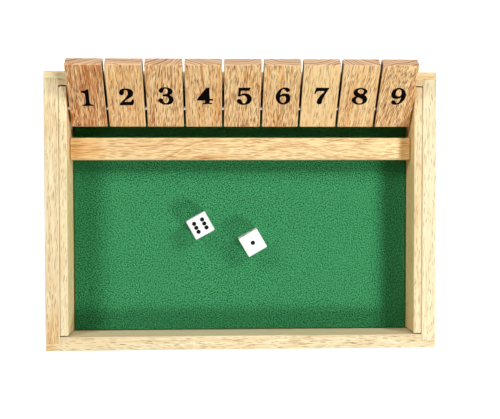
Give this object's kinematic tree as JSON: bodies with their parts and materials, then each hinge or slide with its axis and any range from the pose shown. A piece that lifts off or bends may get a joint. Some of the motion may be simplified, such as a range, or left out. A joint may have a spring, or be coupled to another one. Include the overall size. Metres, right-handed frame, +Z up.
{
  "type": "shut the box game",
  "caption": "Shallow felt-lined wooden tray with a row of numbered tiles that flip over on a steel rod, a rest bar that they fall on, and dice.",
  "frame": {"origin": "centre of the tray's underside", "axes": "+X along the row of tiles from 1 to 9, +Y from the player towards the tiles, +Z up"},
  "size_m": [0.29, 0.2131, 0.0512],
  "materials": {
    "frame_wood": "pale satin wood, open grain, edges eased",
    "liner_wood": "pale satin wood, fine straight grain",
    "rest_wood": "golden satin wood, grain along the bar",
    "tile_wood": "mid-brown satin wood, grain along the tile, pinkish end grain",
    "base_wood": "plain plywood",
    "felt": "green felt with short fibres",
    "steel": "plain drawn steel rod",
    "die_plastic": "white polished plastic",
    "black_paint": "black paint of the numbers and the pips"
  },
  "bodies": {
    "tray": {"front_wall": "frame_wood", "back_wall": "frame_wood", "left_wall": "frame_wood", "right_wall": "frame_wood", "left_liner": "liner_wood", "right_liner": "liner_wood", "base_panel": "base_wood", "felt_mat": "felt", "tile_rest": "rest_wood", "pivot_rod": "steel"},
    "tile_1": {"tile_1": "tile_wood"},
    "tile_2": {"tile_2": "tile_wood"},
    "tile_3": {"tile_3": "tile_wood"},
    "tile_4": {"tile_4": "tile_wood"},
    "tile_5": {"tile_5": "tile_wood"},
    "tile_6": {"tile_6": "tile_wood"},
    "tile_7": {"tile_7": "tile_wood"},
    "tile_8": {"tile_8": "tile_wood"},
    "tile_9": {"tile_9": "tile_wood"},
    "die_1": {"die_1": "die_plastic"},
    "die_2": {"die_2": "die_plastic"}
  },
  "joints": [
    {"name": "tile_1_flip", "type": "hinge", "parent": "tray", "child": "tile_1", "pos_m": [-0.11333, 0.07649, 0.02301], "axis": [1, 0, 0], "range_deg": [0, 141.2]},
    {"name": "tile_2_flip", "type": "hinge", "parent": "tray", "child": "tile_2", "pos_m": [-0.0849, 0.07649, 0.02301], "axis": [1, 0, 0], "range_deg": [0, 141.2]},
    {"name": "tile_3_flip", "type": "hinge", "parent": "tray", "child": "tile_3", "pos_m": [-0.05647, 0.07649, 0.02301], "axis": [1, 0, 0], "range_deg": [0, 141.2]},
    {"name": "tile_4_flip", "type": "hinge", "parent": "tray", "child": "tile_4", "pos_m": [-0.02803, 0.07649, 0.02301], "axis": [1, 0, 0], "range_deg": [0, 141.2]},
    {"name": "tile_5_flip", "type": "hinge", "parent": "tray", "child": "tile_5", "pos_m": [0.0004, 0.07649, 0.02301], "axis": [1, 0, 0], "range_deg": [0, 141.2]},
    {"name": "tile_6_flip", "type": "hinge", "parent": "tray", "child": "tile_6", "pos_m": [0.02883, 0.07649, 0.02301], "axis": [1, 0, 0], "range_deg": [0, 141.2]},
    {"name": "tile_7_flip", "type": "hinge", "parent": "tray", "child": "tile_7", "pos_m": [0.05727, 0.07649, 0.02301], "axis": [1, 0, 0], "range_deg": [0, 141.2]},
    {"name": "tile_8_flip", "type": "hinge", "parent": "tray", "child": "tile_8", "pos_m": [0.0857, 0.07649, 0.02301], "axis": [1, 0, 0], "range_deg": [0, 141.2]},
    {"name": "tile_9_flip", "type": "hinge", "parent": "tray", "child": "tile_9", "pos_m": [0.11413, 0.07649, 0.02301], "axis": [1, 0, 0], "range_deg": [0, 141.2]},
    {"name": "die_1_lift", "type": "slide", "parent": "tray", "child": "die_1", "axis": [0, 0, 1], "range_m": [0, 0.06]},
    {"name": "die_2_lift", "type": "slide", "parent": "tray", "child": "die_2", "axis": [0, 0, 1], "range_m": [0, 0.06]}
  ]
}
